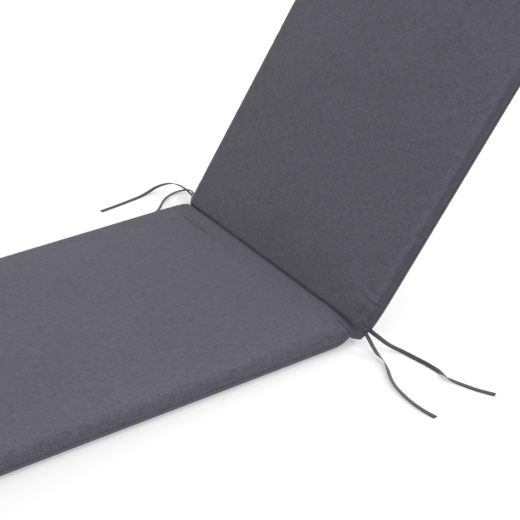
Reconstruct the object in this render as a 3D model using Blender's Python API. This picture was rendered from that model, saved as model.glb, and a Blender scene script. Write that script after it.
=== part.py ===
import math

import bpy
import numpy as np
from mathutils import Vector

for old in list(bpy.data.objects):
    bpy.data.objects.remove(old, do_unlink=True)

# Pad: one filled case, flat underside on z = 0, bent up at its sewn fold
SEAT_LENGTH = 1.200
BACK_LENGTH = 0.700
BACK_ANGLE = math.radians(55.0)
THICKNESS = 0.040
EDGE_RADIUS = 0.0125
CROWN = 0.004
SEAT_HALF_NEAR = 0.2704
SEAT_HALF_FAR = 0.2790
SEAT_SPLAY_NEAR = 0.0180
SEAT_SPLAY_FAR = -0.0060
BACK_HALF_NEAR = 0.2825
BACK_HALF_FAR = 0.2745
BACK_SPLAY_NEAR = 0.0400
BACK_SPLAY_FAR = 0.0210
SEAT_BLEND = 0.012
BACK_BLEND = 0.030
END_DRAW_IN = 0.007
CORNER_FLARE = 0.004
CORNER_REACH = 0.120

# Sewn fold: the fill is squeezed to a seam, which slants down and back into the underside
SEAM_HALF = 0.0045
SEAM_TOP_REACH = 0.0035
SEAM_POWER = 2.4
NOTCH_PLACE = -0.018
NOTCH_HALF = 0.0055
NOTCH_REACH = 0.034
HEEL_PLACE = -0.006
HEEL_HALF = 0.0160
HEEL_RISE = 0.016
PINCH_NEAR = 0.009
PINCH_FAR = 0.003
PINCH_REACH = 0.007
LOBE_SLOPE_NEAR = 0.018
LOBE_SLOPE_FAR = 0.002
LOBE_REACH = 0.020
PUFF_DROP_NEAR = 0.012
PUFF_DROP_FAR = 0.001
PUFF_REACH = 0.050
PUFF_WIDTH = 0.032
GATHER_HEIGHT = 0.0010
GATHER_PITCH = 0.016
GATHER_REACH = 0.040

# Tie tapes: flat webbing, two at each end of the fold
TAPE_WIDTH = 0.0085
TAPE_THICK = 0.0016
TAPE_STEP = 0.006
TAPE_LIFT = 0.0004

HINGE_Z = THICKNESS / 2.0
HINGE_Y = HINGE_Z * math.tan(BACK_ANGLE / 2.0)
# Shapes are drawn about the fold; the part stands with the middle of the seat's underside at the origin
ORIGIN = (0.0, SEAT_LENGTH / 2.0, 0.0)


def make_material(name, colour, roughness):
    material = bpy.data.materials.new(name)
    material.use_nodes = True
    shader = material.node_tree.nodes["Principled BSDF"]
    shader.inputs["Base Color"].default_value = (colour[0], colour[1], colour[2], 1.0)
    shader.inputs["Roughness"].default_value = roughness
    return material


def make_object(name, points, faces, material):
    mesh = bpy.data.meshes.new(name)
    mesh.from_pydata([tuple(point) for point in points], [], faces)
    mesh.validate()
    mesh.update()
    thing = bpy.data.objects.new(name, mesh)
    thing.location = ORIGIN
    bpy.context.scene.collection.objects.link(thing)
    thing.data.materials.append(material)
    return thing


def fade(distance, reach):
    return math.exp(-((distance / reach) ** 2))


# Grid lines of the flat case, closer together at the edges and at the fold
def edge_steps(radius):
    return [radius * math.tan(math.radians(angle)) for angle in (15.0, 30.0, 45.0)]


def across_lines():
    inner = 1.0 - EDGE_RADIUS / SEAT_HALF_NEAR
    offsets = [0.0, 0.006, 0.013, 0.022, 0.034, 0.052, 0.080, 0.125, 0.190]
    lines = []
    for offset in offsets:
        value = inner - offset / SEAT_HALF_NEAR
        lines.extend([-value, value])
    for step in edge_steps(EDGE_RADIUS):
        value = inner + step / SEAT_HALF_NEAR
        lines.extend([-value, value])
    lines.append(0.0)
    return sorted(lines)


def along_lines():
    near_fold = [0.0008, 0.0018, 0.0035, 0.006, 0.009, 0.013, 0.018, 0.023, 0.029, 0.038, 0.050]
    near_fold.extend([0.065, 0.085, 0.110, 0.145])
    lines = [0.0]
    for length, sign in ((SEAT_LENGTH, -1.0), (BACK_LENGTH, 1.0)):
        inner = length - EDGE_RADIUS
        lines.extend(sign * value for value in near_fold)
        count = int(round((inner - 0.180) / 0.060))
        for index in range(count + 1):
            lines.append(sign * (0.180 + (inner - 0.180) * index / count))
        for step in edge_steps(EDGE_RADIUS):
            lines.append(sign * (inner + step))
    return sorted(lines)


def upright_lines():
    inner = HINGE_Z - EDGE_RADIUS
    lines = [0.0, -inner, inner]
    for step in edge_steps(EDGE_RADIUS):
        lines.extend([inner + step, -inner - step])
    return sorted(lines)


# Soft box: each grid point is drawn to a rounded edge of the named radius
def soften(x, s, z, half):
    low = Vector((-half + EDGE_RADIUS, -SEAT_LENGTH + EDGE_RADIUS, -HINGE_Z + EDGE_RADIUS))
    high = Vector((half - EDGE_RADIUS, BACK_LENGTH - EDGE_RADIUS, HINGE_Z - EDGE_RADIUS))
    point = Vector((x, s, z))
    core = Vector([min(max(point[i], low[i]), high[i]) for i in range(3)])
    out = point - core
    if out.length > 1e-9:
        core = core + out.normalized() * EDGE_RADIUS
    return core


def half_width(s, side, level):
    turn = 0.5 + 0.5 * math.tanh(s / (BACK_BLEND if s > 0 else SEAT_BLEND))
    if side > 0:
        seat = SEAT_HALF_NEAR + SEAT_SPLAY_NEAR * max(-s, 0.0)
        back = BACK_HALF_NEAR + BACK_SPLAY_NEAR * max(s, 0.0)
        pinch = PINCH_NEAR
        slope = LOBE_SLOPE_NEAR
    else:
        seat = SEAT_HALF_FAR + SEAT_SPLAY_FAR * max(-s, 0.0)
        back = BACK_HALF_FAR + BACK_SPLAY_FAR * max(s, 0.0)
        pinch = PINCH_FAR
        slope = LOBE_SLOPE_FAR
    half = seat + (back - seat) * turn
    seam = NOTCH_PLACE * (1.0 - level) / 2.0
    half -= pinch * math.exp(-abs(s - seam) / PINCH_REACH)
    half -= slope * max(0.0, level) * fade(s, LOBE_REACH)
    for end in (-SEAT_LENGTH, BACK_LENGTH):
        half += CORNER_FLARE * fade(s - end, CORNER_REACH)
    return half


# Half thickness under the seam plane: seat, notch of the seam, heel of the back, back
def under_half(s):
    if s < NOTCH_PLACE:
        u = min(1.0, (NOTCH_PLACE - s) / NOTCH_REACH)
        return NOTCH_HALF + (HINGE_Z - NOTCH_HALF) * (1.0 - (1.0 - u) ** SEAM_POWER)
    if s < HEEL_PLACE:
        u = (s - NOTCH_PLACE) / (HEEL_PLACE - NOTCH_PLACE)
        return NOTCH_HALF + (HEEL_HALF - NOTCH_HALF) * math.sin(u * math.pi / 2.0) ** 0.8
    u = min(1.0, (s - HEEL_PLACE) / HEEL_RISE)
    return HEEL_HALF + (HINGE_Z - HEEL_HALF) * u


# Ripples that run in from the near side edge where the seam pulls the cloth together
def gathers(inward, s):
    ramp = fade(inward, GATHER_REACH) * fade(s, GATHER_REACH)
    return GATHER_HEIGHT * ramp * math.sin(2.0 * math.pi * abs(s) / GATHER_PITCH)


def place(x, s, z):
    ratio = x / SEAT_HALF_NEAR
    half = half_width(s, ratio, z / HINGE_Z)
    upper = z > 0.0
    if upper:
        rise = 1.0 - max(0.0, 1.0 - abs(s) / SEAM_TOP_REACH) ** SEAM_POWER
        crown = CROWN * (1.0 - abs(ratio) ** 3) * (1.0 - fade(s - BACK_LENGTH, 0.09))
        crown = crown * (1.0 - fade(s + SEAT_LENGTH, 0.09))
        inward = (1.0 - abs(ratio)) * half
        drop = PUFF_DROP_NEAR if ratio > 0 else PUFF_DROP_FAR
        puff = drop * fade(inward, PUFF_WIDTH) * fade(s, PUFF_REACH)
        depth = HINGE_Z + crown - puff
        if ratio > 0:
            depth += gathers(inward, s) * rise
        depth = SEAM_HALF + (depth - SEAM_HALF) * rise
    else:
        depth = under_half(s)
    height = z / HINGE_Z * depth
    for end in (-SEAT_LENGTH, BACK_LENGTH):
        draw = END_DRAW_IN * (1.0 - ratio * ratio) * fade(s - end, 0.06)
        s = s - draw if end > 0 else s + draw
    distance = abs(s)
    if upper:
        distance += height * math.tan(BACK_ANGLE / 2.0) * fade(distance, 0.03)
    if s < 0:
        y = HINGE_Y - distance
        up = HINGE_Z + height
    elif s > 0:
        y = HINGE_Y + distance * math.cos(BACK_ANGLE) - height * math.sin(BACK_ANGLE)
        up = HINGE_Z + distance * math.sin(BACK_ANGLE) + height * math.cos(BACK_ANGLE)
    elif upper:
        y = HINGE_Y - height * math.tan(BACK_ANGLE / 2.0)
        up = HINGE_Z + height
    else:
        y = HINGE_Y - height * math.sin(BACK_ANGLE / 2.0)
        up = HINGE_Z + height * math.cos(BACK_ANGLE / 2.0)
    return (ratio * half, y, up)


def build_pad():
    xs = [value * SEAT_HALF_NEAR for value in across_lines()]
    ss = along_lines()
    zs = upright_lines()
    sizes = (len(xs), len(ss), len(zs))
    index = {}
    points = []

    def corner(i, j, k):
        key = (i, j, k)
        if key not in index:
            index[key] = len(points)
            soft = soften(xs[i], ss[j], zs[k], SEAT_HALF_NEAR)
            points.append(place(soft.x, soft.y, soft.z))
        return index[key]

    faces = []
    for axis in range(3):
        one = (axis + 1) % 3
        two = (axis + 2) % 3
        for level in (0, sizes[axis] - 1):
            for a in range(sizes[one] - 1):
                for b in range(sizes[two] - 1):
                    ring = []
                    for da, db in ((0, 0), (1, 0), (1, 1), (0, 1)):
                        key = [0, 0, 0]
                        key[axis] = level
                        key[one] = a + da
                        key[two] = b + db
                        ring.append(corner(key[0], key[1], key[2]))
                    if level == 0:
                        ring.reverse()
                    faces.append(ring)
    fabric = make_material("pad_fabric", (0.135, 0.130, 0.145), 0.92)
    return make_object("pad", points, faces, fabric)


# Route points of each tape: x, y, z in metres and roll in degrees
NEAR_REAR = [
    (0.2806, 0.0232, 0.0240, -20.0),
    (0.2830, 0.0236, 0.0234, -20.0),
    (0.2898, 0.0247, 0.0215, -20.0),
    (0.2985, 0.0280, 0.0180, -18.0),
    (0.3101, 0.0335, 0.0120, -15.0),
    (0.3205, 0.0400, 0.0070, -12.0),
    (0.3374, 0.0486, 0.0032, -14.0),
    (0.3650, 0.0546, 0.0024, -17.0),
    (0.3942, 0.0596, 0.0025, -18.0),
    (0.4197, 0.0622, 0.0016, -6.0),
    (0.4366, 0.0604, 0.0037, 40.0),
    (0.4509, 0.0637, 0.0022, 14.0),
    (0.4678, 0.0698, 0.0013, 2.0),
    (0.4946, 0.0810, 0.0012, 0.0),
    (0.5208, 0.0954, 0.0014, -4.0),
]
NEAR_FRONT = [
    (0.2774, 0.0152, 0.0209, 14.0),
    (0.2830, 0.0141, 0.0190, 15.0),
    (0.2921, 0.0126, 0.0160, 16.0),
    (0.3075, 0.0094, 0.0105, 18.0),
    (0.3262, 0.0063, 0.0055, 24.0),
    (0.3476, 0.0029, 0.0045, 60.0),
    (0.3687, -0.0059, 0.0038, 42.0),
    (0.3908, -0.0171, 0.0035, 36.0),
    (0.4131, -0.0247, 0.0031, 28.0),
    (0.4350, -0.0285, 0.0026, 20.0),
    (0.4548, -0.0304, 0.0023, 16.0),
    (0.4724, -0.0306, 0.0021, 12.0),
    (0.4953, -0.0287, 0.0016, 6.0),
    (0.5165, -0.0245, 0.0012, 0.0),
]
FAR_REAR = [
    (-0.2774, 0.0128, 0.0226, 27.0),
    (-0.2840, 0.0145, 0.0226, 38.0),
    (-0.2970, 0.0220, 0.0222, 92.0),
    (-0.3203, 0.0382, 0.0200, 100.0),
    (-0.3528, 0.0423, 0.0200, 115.0),
    (-0.3800, 0.0400, 0.0190, 138.0),
    (-0.3990, 0.0290, 0.0165, 176.0),
    (-0.4077, 0.0080, 0.0110, 180.0),
    (-0.4050, -0.0270, 0.0030, 180.0),
    (-0.3990, -0.0750, 0.0014, 180.0),
    (-0.3930, -0.1260, 0.0014, 180.0),
]
FAR_FRONT = [
    (-0.2788, 0.0107, 0.0185, 27.0),
    (-0.2856, 0.0125, 0.0146, 30.0),
    (-0.2970, 0.0230, 0.0086, 66.0),
    (-0.3250, 0.0450, 0.0070, 101.0),
    (-0.3520, 0.0580, 0.0095, 140.0),
    (-0.3720, 0.0570, 0.0060, 173.0),
    (-0.3790, 0.0400, 0.0042, 168.0),
    (-0.3750, 0.0220, 0.0044, 162.0),
    (-0.3650, 0.0030, 0.0046, 154.0),
    (-0.3490, -0.0150, 0.0046, 140.0),
    (-0.3320, -0.0330, 0.0040, 150.0),
    (-0.3220, -0.0600, 0.0020, 170.0),
    (-0.3180, -0.0950, 0.0014, 180.0),
]


def smooth_route(table):
    points = [np.array(row, dtype=float) for row in table]
    points = [2.0 * points[0] - points[1]] + points + [2.0 * points[-1] - points[-2]]
    samples = []
    for index in range(1, len(points) - 2):
        before, start, end, after = points[index - 1:index + 3]
        count = max(2, int(round(np.linalg.norm((end - start)[:3]) / TAPE_STEP)))
        for step in range(count):
            u = step / count
            value = 0.5 * (
                2.0 * start
                + (end - before) * u
                + (2.0 * before - 5.0 * start + 4.0 * end - after) * u ** 2
                + (3.0 * start - before - 3.0 * end + after) * u ** 3
            )
            samples.append(value)
    samples.append(points[-2])
    return samples


def build_tape(name, table, material):
    samples = smooth_route(table)
    centres = [Vector(sample[:3]) for sample in samples]
    points = []
    for index, centre in enumerate(centres):
        first = centres[max(index - 1, 0)]
        last = centres[min(index + 1, len(centres) - 1)]
        forward = (last - first).normalized()
        side = forward.cross(Vector((0.0, 0.0, 1.0))).normalized()
        lift = side.cross(forward).normalized()
        roll = math.radians(samples[index][3])
        rest = TAPE_LIFT + (TAPE_WIDTH * abs(math.sin(roll)) + TAPE_THICK * abs(math.cos(roll))) / 2.0
        centre = Vector((centre.x, centre.y, max(centre.z, rest)))
        broad = side * math.cos(roll) + lift * math.sin(roll)
        thin = lift * math.cos(roll) - side * math.sin(roll)
        for across, up in ((-1, -1), (1, -1), (1, 1), (-1, 1)):
            points.append(centre + broad * across * TAPE_WIDTH / 2.0 + thin * up * TAPE_THICK / 2.0)
    faces = [[0, 1, 2, 3]]
    for ring in range(len(centres) - 1):
        base = ring * 4
        for side_index in range(4):
            after = (side_index + 1) % 4
            faces.append([base + side_index + 4, base + after + 4, base + after, base + side_index])
    top = (len(centres) - 1) * 4
    faces.append([top + 3, top + 2, top + 1, top])
    return make_object(name, points, faces, material)


build_pad()
TAPES = {
    "tie_near_rear": NEAR_REAR,
    "tie_near_front": NEAR_FRONT,
    "tie_far_rear": FAR_REAR,
    "tie_far_front": FAR_FRONT,
}
for tape_name, tape_table in TAPES.items():
    tape_material = make_material(tape_name + "_webbing", (0.085, 0.082, 0.088), 0.9)
    build_tape(tape_name, tape_table, tape_material)
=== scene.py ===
import math

import bmesh
import bpy
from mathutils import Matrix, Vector, noise


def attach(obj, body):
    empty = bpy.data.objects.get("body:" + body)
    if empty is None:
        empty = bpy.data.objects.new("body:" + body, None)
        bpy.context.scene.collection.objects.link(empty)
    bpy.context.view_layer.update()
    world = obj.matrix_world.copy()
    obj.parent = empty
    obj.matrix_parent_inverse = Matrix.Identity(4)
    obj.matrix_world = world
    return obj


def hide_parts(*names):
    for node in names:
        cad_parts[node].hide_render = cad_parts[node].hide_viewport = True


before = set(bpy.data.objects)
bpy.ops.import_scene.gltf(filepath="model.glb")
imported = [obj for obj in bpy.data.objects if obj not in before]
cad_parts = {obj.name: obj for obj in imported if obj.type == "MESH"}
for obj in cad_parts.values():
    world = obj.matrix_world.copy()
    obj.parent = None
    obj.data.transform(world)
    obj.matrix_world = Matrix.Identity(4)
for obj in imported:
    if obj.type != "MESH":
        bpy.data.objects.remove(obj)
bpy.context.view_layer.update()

foldPlace = 0.6  # the part's shapes are drawn about the fold, which lies this far along +Y


# Camera, at the photo's place
cameraSet = {
    "place": (2.086, -0.801, 1.449),
    "azimuth": 56.38,
    "elevation": 29.34,
    "focalPixels": 1593.1,
    "framePixels": 520,
}


def makeCamera(s):
    data = bpy.data.cameras.new("camera")
    data.sensor_width = 36.0
    data.lens = s["focalPixels"] / s["framePixels"] * data.sensor_width
    camera = bpy.data.objects.new("camera", data)
    bpy.context.scene.collection.objects.link(camera)
    a, e = math.radians(s["azimuth"]), math.radians(s["elevation"])
    back = Vector((math.sin(a) * math.cos(e), -math.cos(a) * math.cos(e), math.sin(e)))
    camera.location = s["place"]
    camera.rotation_mode = "QUATERNION"
    camera.rotation_quaternion = (-back).to_track_quat("-Z", "Y")
    bpy.context.scene.camera = camera


makeCamera(cameraSet)
print("camera placed")


# Shader maths: a wrapped socket takes the usual operators
class Wire:
    def __init__(self, tree, socket):
        self.tree = tree
        self.socket = socket

    def math(self, operation, *values, clamp=False):
        node = self.tree.nodes.new("ShaderNodeMath")
        node.operation = operation
        node.use_clamp = clamp
        for place, value in enumerate(values):
            if isinstance(value, Wire):
                self.tree.links.new(value.socket, node.inputs[place])
            else:
                node.inputs[place].default_value = value
        return Wire(self.tree, node.outputs[0])

    def __add__(self, other): return self.math("ADD", self, other)
    def __radd__(self, other): return self.math("ADD", other, self)
    def __sub__(self, other): return self.math("SUBTRACT", self, other)
    def __rsub__(self, other): return self.math("SUBTRACT", other, self)
    def __mul__(self, other): return self.math("MULTIPLY", self, other)
    def __rmul__(self, other): return self.math("MULTIPLY", other, self)
    def __truediv__(self, other): return self.math("DIVIDE", self, other)
    def __pow__(self, other): return self.math("POWER", self, other)
    def __neg__(self): return self.math("MULTIPLY", self, -1.0)
    def __abs__(self): return self.math("ABSOLUTE", self)
    def sine(self): return self.math("SINE", self)
    def clamped(self): return self.math("ADD", self, 0.0, clamp=True)


class Shader:
    def __init__(self, name):
        self.material = bpy.data.materials.new(name)
        self.material.use_nodes = True
        self.tree = self.material.node_tree
        self.body = self.tree.nodes["Principled BSDF"]

    def add(self, kind, settings=None, out=0, **sockets):
        node = self.tree.nodes.new(kind)
        for key, value in (settings or {}).items():
            if key == "stops":
                ramp = node.color_ramp.elements
                for place, (position, colour) in enumerate(value):
                    stop = ramp[place] if place < len(ramp) else ramp.new(position)
                    stop.position = position
                    stop.color = (*colour, 1.0)
            else:
                setattr(node, key, value)
        for key, value in sockets.items():
            socket = node.inputs[int(key[1:])] if key[0] == "_" else node.inputs[key]
            if isinstance(value, Wire):
                self.tree.links.new(value.socket, socket)
            else:
                socket.default_value = value
        return Wire(self.tree, node.outputs[out])

    def into(self, name, value):
        if isinstance(value, Wire):
            self.tree.links.new(value.socket, self.body.inputs[name])
        else:
            self.body.inputs[name].default_value = value


# Cloth of the pad: fine two-tone weave on the piece's own flat coordinates, in metres
padCloth = {
    "light": (0.135, 0.130, 0.164),
    "dark": (0.072, 0.069, 0.088),
    "threads": 900.0,
    "slub": 420.0,
    "weaveDepth": 0.00012,
    "slubDepth": 0.00018,
    "sheen": 0.12,
}

tapeCloth = {
    "light": (0.074, 0.071, 0.081),
    "dark": (0.042, 0.041, 0.047),
    "ribs": 900.0,
    "ribDepth": 0.00015,
}


def padMaterial(s):
    m = Shader("pad cloth")
    flat = m.add("ShaderNodeUVMap", {"uv_map": "flat"})
    parts = m.tree.nodes.new("ShaderNodeSeparateXYZ")
    m.tree.links.new(flat.socket, parts.inputs[0])
    across, along = Wire(m.tree, parts.outputs[0]), Wire(m.tree, parts.outputs[1])
    turn = 2.0 * math.pi * s["threads"]
    warp, weft = (across * turn).sine(), (along * turn).sine()
    weave = warp * weft * 0.5 + 0.5
    warpSlub = m.add(
        "ShaderNodeTexNoise", Vector=m.add("ShaderNodeMapping", Vector=flat, Scale=(1.0, 0.14, 1.0)),
        Scale=s["slub"], Detail=2.0, Roughness=0.6,
    )
    weftSlub = m.add(
        "ShaderNodeTexNoise", Vector=m.add("ShaderNodeMapping", Vector=flat, Scale=(0.14, 1.0, 1.0)),
        Scale=s["slub"], Detail=2.0, Roughness=0.6,
    )
    grain = m.add("ShaderNodeTexNoise", Vector=flat, Scale=s["slub"] * 1.3, Detail=3.0, Roughness=0.7)
    cloud = m.add("ShaderNodeTexNoise", Vector=flat, Scale=6.0, Detail=3.0, Roughness=0.5)
    painted_shade = m.add("ShaderNodeAttribute", {"attribute_name": "painted_shade"}, out=2)
    lighter_crest = m.add("ShaderNodeAttribute", {"attribute_name": "lighter_crest"}, out=2)
    mix = warpSlub * 0.5 + weftSlub * 0.5 + (grain - 0.5) * 0.9
    # the colour is lighter in a band along the crest of the back's upper edges
    mix = (mix - 0.5) * 2.6 + 0.5 + (weave - 0.5) * 0.25 + (cloud - 0.5) * 0.35 + lighter_crest * 0.30
    colour = m.add(
        "ShaderNodeMix", {"data_type": "RGBA"}, out=2,
        _0=mix.clamped(), _6=(*s["dark"], 1.0), _7=(*s["light"], 1.0),
    )
    # Painted shade: the cloth colour is pulled toward a dark grey in creases, seam grooves, gather hollows and on
    # the side walls
    shade = m.add(
        "ShaderNodeMix", {"data_type": "RGBA"}, out=2,
        _0=painted_shade.clamped(), _6=colour, _7=(0.026, 0.025, 0.031, 1.0),
    )
    m.into("Base Color", shade)
    m.into("Roughness", 0.86 + (grain - 0.5) * 0.12 - lighter_crest * 0.05)
    height = weave * s["weaveDepth"] + (warpSlub + weftSlub) * s["slubDepth"]
    bump = m.add("ShaderNodeBump", Height=height, Distance=1.0, Strength=0.40)
    m.into("Normal", bump)
    m.into("Sheen Weight", s["sheen"])
    m.into("Sheen Roughness", 0.45)
    m.into("Specular IOR Level", 0.25)
    return m.material


def tapeMaterial(s):
    m = Shader("tape webbing")
    flat = m.add("ShaderNodeUVMap", {"uv_map": "flat"})
    parts = m.tree.nodes.new("ShaderNodeSeparateXYZ")
    m.tree.links.new(flat.socket, parts.inputs[0])
    across, along = Wire(m.tree, parts.outputs[0]), Wire(m.tree, parts.outputs[1])
    turn = 2.0 * math.pi * s["ribs"]
    ribs = (along * turn + (across * turn * 0.5).sine() * 0.8).sine() * 0.5 + 0.5
    fuzz = m.add("ShaderNodeTexNoise", Vector=flat, Scale=700.0, Detail=3.0, Roughness=0.7)
    painted_shade = m.add("ShaderNodeAttribute", {"attribute_name": "painted_shade"}, out=2)
    # Painted shade: the tape's rounded side edges are darkened
    mix = (ribs * 0.45 + fuzz * 0.75 - 0.1 - painted_shade * 0.5).clamped()
    colour = m.add(
        "ShaderNodeMix", {"data_type": "RGBA"}, out=2,
        _0=mix, _6=(*s["dark"], 1.0), _7=(*s["light"], 1.0),
    )
    m.into("Base Color", colour)
    m.into("Roughness", 0.82 + (fuzz - 0.5) * 0.15)
    height = ribs * s["ribDepth"] + fuzz * 0.0001
    m.into("Normal", m.add("ShaderNodeBump", Height=height, Distance=1.0, Strength=0.6))
    m.into("Sheen Weight", 0.15)
    m.into("Sheen Roughness", 0.4)
    m.into("Specular IOR Level", 0.3)
    return m.material


# Tie tapes: route points about the fold, x, y, z in metres and roll in degrees
tapeSet = {"width": 0.0085, "thick": 0.0014, "lift": 0.0005, "step": 0.003}

tapeRoutes = {
    "tie_near_rear": [
        (0.2806, 0.0232, 0.0240, -20.0),
        (0.2830, 0.0236, 0.0234, -20.0),
        (0.2898, 0.0247, 0.0215, -20.0),
        (0.2985, 0.0280, 0.0180, -18.0),
        (0.3101, 0.0335, 0.0120, -15.0),
        (0.3205, 0.0400, 0.0070, -12.0),
        (0.3374, 0.0486, 0.0032, -14.0),
        (0.3650, 0.0546, 0.0024, -17.0),
        (0.3942, 0.0596, 0.0025, -18.0),
        (0.4197, 0.0622, 0.0016, -6.0),
        (0.4366, 0.0604, 0.0037, 40.0),
        (0.4509, 0.0637, 0.0022, 14.0),
        (0.4678, 0.0698, 0.0013, 2.0),
        (0.4946, 0.0810, 0.0012, 0.0),
        (0.5208, 0.0954, 0.0014, -4.0),
    ],
    "tie_near_front": [
        (0.2774, 0.0152, 0.0209, 14.0),
        (0.2830, 0.0141, 0.0190, 15.0),
        (0.2921, 0.0126, 0.0160, 16.0),
        (0.3075, 0.0094, 0.0105, 18.0),
        (0.3262, 0.0063, 0.0055, 24.0),
        (0.3476, 0.0029, 0.0045, 60.0),
        (0.3687, -0.0059, 0.0038, 42.0),
        (0.3908, -0.0171, 0.0035, 36.0),
        (0.4131, -0.0247, 0.0031, 28.0),
        (0.4350, -0.0285, 0.0026, 20.0),
        (0.4548, -0.0304, 0.0023, 16.0),
        (0.4724, -0.0306, 0.0021, 12.0),
        (0.4953, -0.0287, 0.0016, 6.0),
        (0.5165, -0.0245, 0.0012, 0.0),
    ],
    "tie_far_rear": [
        (-0.2774, 0.0128, 0.0226, 27.0),
        (-0.2840, 0.0145, 0.0226, 38.0),
        (-0.2970, 0.0220, 0.0222, 92.0),
        (-0.3203, 0.0382, 0.0200, 100.0),
        (-0.3528, 0.0423, 0.0200, 115.0),
        (-0.3800, 0.0400, 0.0190, 138.0),
        (-0.3990, 0.0290, 0.0165, 176.0),
        (-0.4077, 0.0080, 0.0110, 180.0),
        (-0.4050, -0.0270, 0.0030, 180.0),
        (-0.3990, -0.0750, 0.0014, 180.0),
        (-0.3930, -0.1260, 0.0014, 180.0),
    ],
    "tie_far_front": [
        (-0.2788, 0.0107, 0.0185, 27.0),
        (-0.2856, 0.0125, 0.0146, 30.0),
        (-0.2970, 0.0230, 0.0086, 66.0),
        (-0.3250, 0.0450, 0.0070, 101.0),
        (-0.3520, 0.0580, 0.0095, 140.0),
        (-0.3720, 0.0570, 0.0060, 173.0),
        (-0.3790, 0.0400, 0.0042, 168.0),
        (-0.3750, 0.0220, 0.0044, 162.0),
        (-0.3650, 0.0030, 0.0046, 154.0),
        (-0.3490, -0.0150, 0.0046, 140.0),
        (-0.3320, -0.0330, 0.0040, 150.0),
        (-0.3220, -0.0600, 0.0020, 170.0),
        (-0.3180, -0.0950, 0.0014, 180.0),
    ],
}


def smoothRoute(route, step):
    points = [Vector(row) for row in route]
    points = [2 * points[0] - points[1]] + points + [2 * points[-1] - points[-2]]
    samples = []
    for index in range(1, len(points) - 2):
        before, start, end, after = points[index - 1:index + 3]
        count = max(2, round((end - start).xyz.length / step))
        for number in range(count):
            u = number / count
            samples.append(0.5 * (
                2 * start + (end - before) * u
                + (2 * before - 5 * start + 4 * end - after) * u ** 2
                + (3 * start - before - 3 * end + after) * u ** 3
            ))
    samples.append(points[-2])
    return samples


def tapeRings(route, s):
    samples = smoothRoute(route, s["step"])
    rings = []
    for index, sample in enumerate(samples):
        first, last = samples[max(index - 1, 0)], samples[min(index + 1, len(samples) - 1)]
        forward = (last - first).xyz.normalized()
        side = forward.cross(Vector((0, 0, 1))).normalized()
        lift = side.cross(forward).normalized()
        roll = math.radians(sample.w)
        rest = s["lift"] + (s["width"] * abs(math.sin(roll)) + s["thick"] * abs(math.cos(roll))) / 2
        centre = Vector((sample.x, sample.y + foldPlace, max(sample.z, rest)))
        broad = side * math.cos(roll) + lift * math.sin(roll)
        thin = lift * math.cos(roll) - side * math.sin(roll)
        rings.append((centre, broad, thin))
    return rings


tapeSection = [(-1.0, 0.0), (-0.94, -0.8), (-0.5, -0.86), (0.0, -0.8), (0.5, -0.86), (0.94, -0.8),
               (1.0, 0.0), (0.94, 0.8), (0.5, 0.86), (0.0, 0.8), (-0.5, 0.86), (-0.94, 0.8)]


def makeTape(name, route, material, s):
    rings = tapeRings(route, s)
    mesh = bpy.data.meshes.new(name + "_tape")
    bm = bmesh.new()
    flat = bm.loops.layers.uv.new("flat")
    painted_shade = bm.verts.layers.float.new("painted_shade")
    half, thick = s["width"] / 2, s["thick"] / 2

    def settle(verts, ring, travel):
        centre, broad, thin = ring
        for vert, (across, up) in zip(verts, tapeSection):
            wave = noise.noise(Vector((travel * 90, across, len(name)))) * 0.0003
            vert.co = centre + broad * across * (half + wave) + thin * up * thick
            # painted shade on the tape's rounded side edges
            vert[painted_shade] = 1.0 if abs(across) > 0.9 else 0.0

    verts = [bm.verts.new((across * half, up * thick, 0)) for across, up in tapeSection]
    edges = [bm.edges.new((verts[i], verts[(i + 1) % len(verts)])) for i in range(len(verts))]
    settle(verts, rings[0], 0.0)
    startCap = bm.faces.new(verts)
    travels = [0.0]
    rows = [verts]
    for index in range(1, len(rings)):
        travels.append(travels[-1] + (rings[index][0] - rings[index - 1][0]).length)
        grown = bmesh.ops.extrude_edge_only(bm, edges=edges)
        newVerts = [g for g in grown["geom"] if isinstance(g, bmesh.types.BMVert)]
        edges = [g for g in grown["geom"] if isinstance(g, bmesh.types.BMEdge)
                 and g.verts[0] in newVerts and g.verts[1] in newVerts]
        ordered = []
        for old in rows[-1]:
            partner = [e.other_vert(old) for e in old.link_edges if e.other_vert(old) in newVerts]
            ordered.append(partner[0])
        settle(ordered, rings[index], travels[-1])
        rows.append(ordered)
    bm.faces.new(rows[-1])
    bmesh.ops.recalc_face_normals(bm, faces=bm.faces[:])
    place = {}
    for row, travel in zip(rows, travels):
        for vert, (across, up) in zip(row, tapeSection):
            place[vert] = (across * half, travel)
    for face in bm.faces:
        face.smooth = len(face.verts) == 4
        for loop in face.loops:
            loop[flat].uv = place[loop.vert]
    bm.to_mesh(mesh)
    bm.free()
    tape = bpy.data.objects.new(name + "_tape", mesh)
    bpy.context.scene.collection.objects.link(tape)
    mesh.materials.append(material)
    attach(tape, "root")
    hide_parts(name)
    print(name, "length", round(travels[-1], 3))


webbing = tapeMaterial(tapeCloth)
for tapeName, tapeRoute in tapeRoutes.items():
    makeTape(tapeName, tapeRoute, webbing, tapeSet)
print("tapes made")


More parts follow.
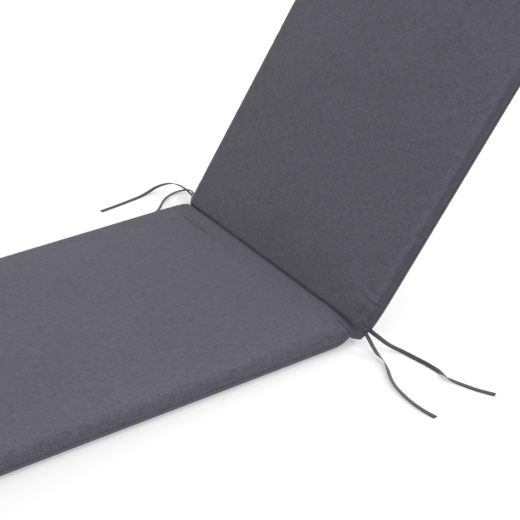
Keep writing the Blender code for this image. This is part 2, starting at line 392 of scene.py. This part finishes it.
# Pad: sizes about the fold, near is the +X side
pad = {
    "seatLength": 1.200,
    "backLength": 0.700,
    "backAngle": math.radians(55.0),
    "thick": 0.040,
    "edge": 0.0125,
    "crown": 0.004,
    "seatHalf": {1: 0.2704, -1: 0.2790},
    "seatSplay": {1: 0.0180, -1: -0.0060},
    "backHalf": {1: 0.2825, -1: 0.2745},
    "backSplay": {1: 0.0400, -1: 0.0210},
    "seatBlend": 0.012,
    "backBlend": 0.030,
    "endDrawIn": 0.007,
    "cornerFlare": 0.004,
    "cornerReach": 0.120,
    "seamHalf": 0.0140,
    "seamCorner": 0.0060,
    "seamTopReach": {True: 0.0026, False: 0.0085},
    "seamPower": 2.4,
    "notchPlace": -0.018,
    "notchHalf": 0.0055,
    "notchReach": 0.034,
    "heelPlace": -0.006,
    "heelHalf": 0.0160,
    "heelRise": 0.016,
    "pinch": {1: 0.009, -1: 0.003},
    "pinchReach": 0.007,
    "lobeSlope": {1: 0.018, -1: 0.002},
    "lobeReach": 0.020,
    "puffDrop": {True: 0.004, False: 0.012},
    "puffShare": {1: 1.0, -1: 0.08},
    "seatSink": 0.0035,
    "sinkReach": 0.030,
    "puffWidth": 0.032,
    "puffReach": 0.050,
    "sideSeam": -0.0045,
}
hingeZ = pad["thick"] / 2
hingeY = hingeZ * math.tan(pad["backAngle"] / 2)
flatHalf = pad["seatHalf"][1]

# Small forms of the sewn cover, all in metres
sewn = {
    "unevenDepth": 0.0016,
    "unevenScale": 7.0,
    "puckerDepth": 0.0006,
    "puckerReach": 0.020,
    "puckerScale": 75.0,
    "pullDepth": 0.0016,
    "gatherDepth": 0.0050,
    "gatherPitch": 0.0036,
    "gatherPlace": {True: 0.042, False: -0.026},
    "gatherAlong": {True: 0.040, False: 0.032},
    "gatherInward": 0.032,
    "lobeDepth": 0.0018,
    "seamDepth": 0.0013,
    "seamWidth": 0.0010,
}
# Places along the back's near edge where the seam pulls the cloth: distance from the fold, reach
seamPulls = [(0.345, 0.022), (0.305, 0.014), (0.250, 0.012), (0.185, 0.018)]


def fade(distance, reach):
    return math.exp(-((distance / reach) ** 2))


def halfWidth(s, side, level):
    turn = 0.5 + 0.5 * math.tanh(s / pad["backBlend" if s > 0 else "seatBlend"])
    seat = pad["seatHalf"][side] + pad["seatSplay"][side] * max(-s, 0.0)
    back = pad["backHalf"][side] + pad["backSplay"][side] * max(s, 0.0)
    half = seat + (back - seat) * turn
    seam = pad["notchPlace"] * (1.0 - level) / 2.0
    half -= pad["pinch"][side] * math.exp(-abs(s - seam) / pad["pinchReach"])
    half -= pad["lobeSlope"][side] * max(0.0, level) * fade(s, pad["lobeReach"])
    for end in (-pad["seatLength"], pad["backLength"]):
        half += pad["cornerFlare"] * fade(s - end, pad["cornerReach"])
    return half


def underHalf(s):
    notch, heel = pad["notchPlace"], pad["heelPlace"]
    if s < notch:
        u = min(1.0, (notch - s) / pad["notchReach"])
        return pad["notchHalf"] + (hingeZ - pad["notchHalf"]) * (1.0 - (1.0 - u) ** pad["seamPower"])
    if s < heel:
        u = (s - notch) / (heel - notch)
        return pad["notchHalf"] + (pad["heelHalf"] - pad["notchHalf"]) * math.sin(u * math.pi / 2) ** 0.8
    return pad["heelHalf"] + (hingeZ - pad["heelHalf"]) * min(1.0, (s - heel) / pad["heelRise"])


def soften(x, s, z):
    edge = pad["edge"]
    low = (-flatHalf + edge, -pad["seatLength"] + edge, -hingeZ + edge)
    high = (flatHalf - edge, pad["backLength"] - edge, hingeZ - edge)
    core = Vector([min(max(value, low[i]), high[i]) for i, value in enumerate((x, s, z))])
    out = Vector((x, s, z)) - core
    if out.length > 1e-9:
        out = out.normalized()
        return core + out * edge, out
    return core, Vector((0, 0, 0))


def bend(x, s, z):
    ratio = x / flatHalf
    side = 1 if ratio > 0 else -1
    half = halfWidth(s, side, max(-1.0, min(1.0, z / hingeZ)))
    upper = z > 0.0
    if upper:
        rise = 1.0 - max(0.0, 1.0 - abs(s) / pad["seamTopReach"][s > 0]) ** pad["seamPower"]
        crown = pad["crown"] * (1.0 - min(1.0, abs(ratio)) ** 3) * (1.0 - fade(s - pad["backLength"], 0.09))
        crown = crown * (1.0 - fade(s + pad["seatLength"], 0.09)) * (1.0 - fade(s, 0.055))
        corner = fade((1.0 - abs(ratio)) * half, pad["puffWidth"])
        puff = pad["puffDrop"][s > 0] * pad["puffShare"][side] * corner * fade(s, pad["puffReach"])
        if s < 0:
            puff += pad["seatSink"] * (1.0 - corner) * fade(s, pad["sinkReach"])
        seam = pad["seamHalf"] - pad["seamCorner"] * corner
        depth = seam + (hingeZ + crown - puff - seam) * rise
    else:
        depth = underHalf(s)
    height = z / hingeZ * depth
    for end in (-pad["seatLength"], pad["backLength"]):
        draw = pad["endDrawIn"] * (1.0 - ratio * ratio) * fade(s - end, 0.06)
        s = s - draw if end > 0 else s + draw
    distance = abs(s)
    slope = pad["backAngle"]
    if upper:
        distance += height * math.tan(slope / 2) * fade(distance, 0.03)
    if s < 0:
        y, up = hingeY - distance, hingeZ + height
    elif s > 0:
        y = hingeY + distance * math.cos(slope) - height * math.sin(slope)
        up = hingeZ + distance * math.sin(slope) + height * math.cos(slope)
    elif upper:
        y, up = hingeY - height * math.tan(slope / 2), hingeZ + height
    else:
        y, up = hingeY - height * math.sin(slope / 2), hingeZ + height * math.cos(slope / 2)
    return Vector((ratio * half, y + foldPlace, up))


# How far the sewn cover stands off its plain form, and how much shade is painted into its colour
def coverRelief(flat, out):
    x, s, z = flat
    side = 1 if x > 0 else -1
    inward = max(0.0, flatHalf - abs(x))
    top = max(0.0, out.z)
    wall = 1.0 - abs(out.z)
    rests = out.z < -0.5 and s < 0.0
    relief, shade_paint = 0.0, 0.0
    if not rests:
        broad = noise.fractal(Vector((x, s, 3.0 + z)) * sewn["unevenScale"], 0.6, 2.0, 3)
        relief += sewn["unevenDepth"] * broad * (1.0 - fade(inward, 0.03)) * (1.0 - fade(s, 0.03))
    pull = 0.35 + 0.65 * noise.noise(Vector((s * 9.0, side * 3.0, 1.0))) ** 2 * 4.0
    depth, reach = sewn["puckerDepth"] * pull, sewn["puckerReach"]
    if side > 0:
        for place, spread in seamPulls:
            near = fade(s - place, spread)
            depth += sewn["pullDepth"] * near
            reach += 0.030 * near
    ripple = noise.noise(Vector((s * sewn["puckerScale"], inward * 10.0, side * 5.0)))
    if not rests:
        front = min(1.0, max(0.0, (z + 0.004) / 0.010))
        relief += depth * ripple * 1.6 * fade(inward, reach) * (1.0 - 0.5 * wall) * front
    if not rests:
        slant = s + 0.12 * inward * math.sin(s * 60.0)
        fold = noise.noise(Vector((slant / sewn["gatherPitch"], inward * 16.0, side * 7.0)))
        ramp = fade(s - sewn["gatherPlace"][s > 0], sewn["gatherAlong"][s > 0]) * fade(inward, sewn["gatherInward"])
        ramp *= min(1.0, max(0.0, (z + 0.004) / 0.010))
        if s > 0:
            ramp *= 1.0 - 0.6 * wall
        if side < 0:
            ramp *= 0.2
        relief += sewn["gatherDepth"] * ramp * fold * (1.0 if s > 0 else 1.5)
        # grooves beside the fold's lobe, with painted shade in them
        for start, length in ((0.0035, 0.0013), (0.0125, 0.0014)):
            line = fade(s - start, length) * wall * fade(inward, 0.020) * min(1.0, max(0.0, (z + 0.010) / 0.010))
            relief -= sewn["lobeDepth"] * line
            shade_paint += 0.35 * line
        # painted shade in the valleys of the gathers
        shade_paint += (0.55 if s > 0 else 1.1) * ramp * max(0.0, -fold)
    if side < 0 and s < 0 and top > 0.5:
        # painted shade along two creases on the far seat corner
        for start, amount in ((-0.0505, 1.0), (-0.040, 0.50)):
            wave = 0.0015 * math.sin(inward * 55.0)
            line = amount * fade(s - start - wave, 0.0032) * fade(inward - 0.105, 0.085)
            relief -= 0.0018 * line
            shade_paint += 0.36 * line
    if wall > 0.3:
        seam = fade(z - pad["sideSeam"], sewn["seamWidth"]) * wall * (1.0 - fade(s, 0.030))
        tug = 0.75 + 0.25 * math.sin(s * 2 * math.pi / 0.0065)
        relief -= sewn["seamDepth"] * seam * tug
        relief += 0.0010 * wall * (1.0 - (z / hingeZ) ** 2)
        # painted shade in the side seam's groove
        shade_paint += 0.30 * seam
    # painted shade along the fold crease
    shade_paint += 0.08 * fade(s, 0.012) * top
    # painted shade on the back's side walls and on the seat's rounded side edge
    if s > 0:
        shade_paint += 0.34 * wall * (1.0 - fade(s, 0.020))
    elif inward < 0.016 and abs(out.z) < 0.99:
        shade_paint += 0.13 * fade(out.z - 0.4, 0.5)
    return relief, shade_paint


def stops(pieces):
    values = []
    for start, end, step in pieces:
        count = max(1, round((end - start) / step))
        values.extend(start + (end - start) * i / count for i in range(count))
    values.append(pieces[-1][1])
    return values


def rounding(radius, count):
    return [radius * math.tan(math.radians(45.0 * i / count)) for i in range(1, count + 1)]


def acrossStops():
    inner = flatHalf - pad["edge"]
    half = [inner - v for v in stops([(0.0, 0.028, 0.0035), (0.028, 0.076, 0.006), (0.076, inner, 0.024)])]
    half += [inner + v for v in rounding(pad["edge"], 5)]
    return sorted(set([round(-v, 7) for v in half] + [round(v, 7) for v in half]))


def alongStops():
    seatInner = pad["seatLength"] - pad["edge"]
    backInner = pad["backLength"] - pad["edge"]
    seat = stops([(0.0, 0.004, 0.0008), (0.004, 0.060, 0.0013), (0.060, 0.20, 0.0045), (0.20, seatInner, 0.007)])
    back = stops([(0.0, 0.004, 0.0008), (0.004, 0.072, 0.0013), (0.072, 0.42, 0.004), (0.42, backInner, 0.007)])
    seat += [seatInner + v for v in rounding(pad["edge"], 5)]
    back += [backInner + v for v in rounding(pad["edge"], 5)]
    return sorted(set([round(-v, 7) for v in seat] + [round(v, 7) for v in back]))


def uprightStops():
    inner = hingeZ - pad["edge"]
    seam = pad["sideSeam"]
    middle = [-inner, seam - 0.0022, seam - 0.0010, seam, seam + 0.0010, seam + 0.0022, 0.0015, inner]
    outer = [inner + v for v in rounding(pad["edge"], 5)]
    return sorted(middle + outer + [-v for v in outer])


def makePad(material):
    lines = [acrossStops(), alongStops(), uprightStops()]
    bm = bmesh.new()
    bmesh.ops.create_cube(bm, size=2.0)
    for axis in range(3):
        edges = [e for e in bm.edges if abs(e.verts[0].co[axis] - e.verts[1].co[axis]) > 1.0]
        bmesh.ops.subdivide_edges(bm, edges=edges, cuts=len(lines[axis]) - 2, use_grid_fill=True)
    flat = bm.loops.layers.uv.new("flat")
    painted_shade = bm.verts.layers.float.new("painted_shade")
    lighter_crest = bm.verts.layers.float.new("lighter_crest")
    drawn = {}
    for vert in bm.verts:
        spot = []
        for axis in range(3):
            number = round((vert.co[axis] + 1.0) / 2.0 * (len(lines[axis]) - 1))
            spot.append(lines[axis][number])
        soft, out = soften(*spot)
        if out.length < 0.5:
            out = Vector((0, 0, 1 if soft.z > 0 else -1))
        relief, shade_paint = coverRelief(soft, out)
        drawn[vert] = (soft, out)
        lifted = soft + out * relief
        vert.co = bend(*lifted)
        vert.co.z = max(vert.co.z, 0.0)
        # painted shade, as worked out in coverRelief
        vert[painted_shade] = shade_paint
        # a lighter band along the crest of the back's upper edges
        vert[lighter_crest] = fade(soft.z - 0.0160, 0.0040) if soft.y > 0 and abs(out.z) < 0.99 else 0.0
    for face in bm.faces:
        face.smooth = True
        normal = sum((drawn[v][1] for v in face.verts), Vector()).normalized()
        for loop in face.loops:
            soft, out = drawn[loop.vert]
            if abs(normal.x) > 0.7:
                loop[flat].uv = (soft.x + soft.z, soft.y)
            elif abs(normal.y) > 0.7:
                loop[flat].uv = (soft.x, soft.y + soft.z)
            else:
                loop[flat].uv = (soft.x, soft.y)
    bmesh.ops.recalc_face_normals(bm, faces=bm.faces[:])
    mesh = bpy.data.meshes.new("pad_cover")
    bm.to_mesh(mesh)
    bm.free()
    cover = bpy.data.objects.new("pad_cover", mesh)
    bpy.context.scene.collection.objects.link(cover)
    mesh.materials.append(material)
    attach(cover, "root")
    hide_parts("pad")
    print("pad cover made,", len(mesh.polygons), "faces")
    return cover


makePad(padMaterial(padCloth))


# Floor and light
studio = {
    "floor": (0.50, 0.50, 0.50),
    "floorGlow": 0.40,
    "worldStrength": 0.84,
    "lamps": [
        {"name": "key", "power": 80.0, "size": 3.0, "place": (0.5, 2.8, 3.8), "aim": (0.0, 0.2, 0.0)},
        {"name": "rearFill", "power": 95.0, "size": 1.2, "place": (0.20, 3.5, 1.3), "aim": (0.5, 1.0, 0.0)},
    ],
}


def makeStudio(s):
    bm = bmesh.new()
    bmesh.ops.create_grid(bm, x_segments=1, y_segments=1, size=30.0)
    mesh = bpy.data.meshes.new("floor")
    bm.to_mesh(mesh)
    bm.free()
    floor = bpy.data.objects.new("floor", mesh)
    bpy.context.scene.collection.objects.link(floor)
    m = Shader("floor")
    m.into("Base Color", (*s["floor"], 1.0))
    m.into("Roughness", 0.9)
    m.into("Specular IOR Level", 0.1)
    m.into("Emission Color", (1.0, 1.0, 1.0, 1.0))
    m.into("Emission Strength", s["floorGlow"])
    mesh.materials.append(m.material)
    floor.visible_diffuse = False
    world = bpy.data.worlds.new("studio")
    world.use_nodes = True
    world.node_tree.nodes["Background"].inputs[0].default_value = (1.0, 1.0, 1.0, 1.0)
    world.node_tree.nodes["Background"].inputs[1].default_value = s["worldStrength"]
    bpy.context.scene.world = world
    for row in s["lamps"]:
        light = bpy.data.lights.new(row["name"], "AREA")
        light.energy = row["power"]
        light.shape = "DISK"
        light.size = row["size"]
        lamp = bpy.data.objects.new(row["name"], light)
        bpy.context.scene.collection.objects.link(lamp)
        lamp.location = row["place"]
        lamp.rotation_euler = (Vector(row["aim"]) - lamp.location).to_track_quat("-Z", "Y").to_euler()
        lamp.visible_camera = False


makeStudio(studio)
bpy.context.scene.view_settings.view_transform = "Standard"
print("studio made")
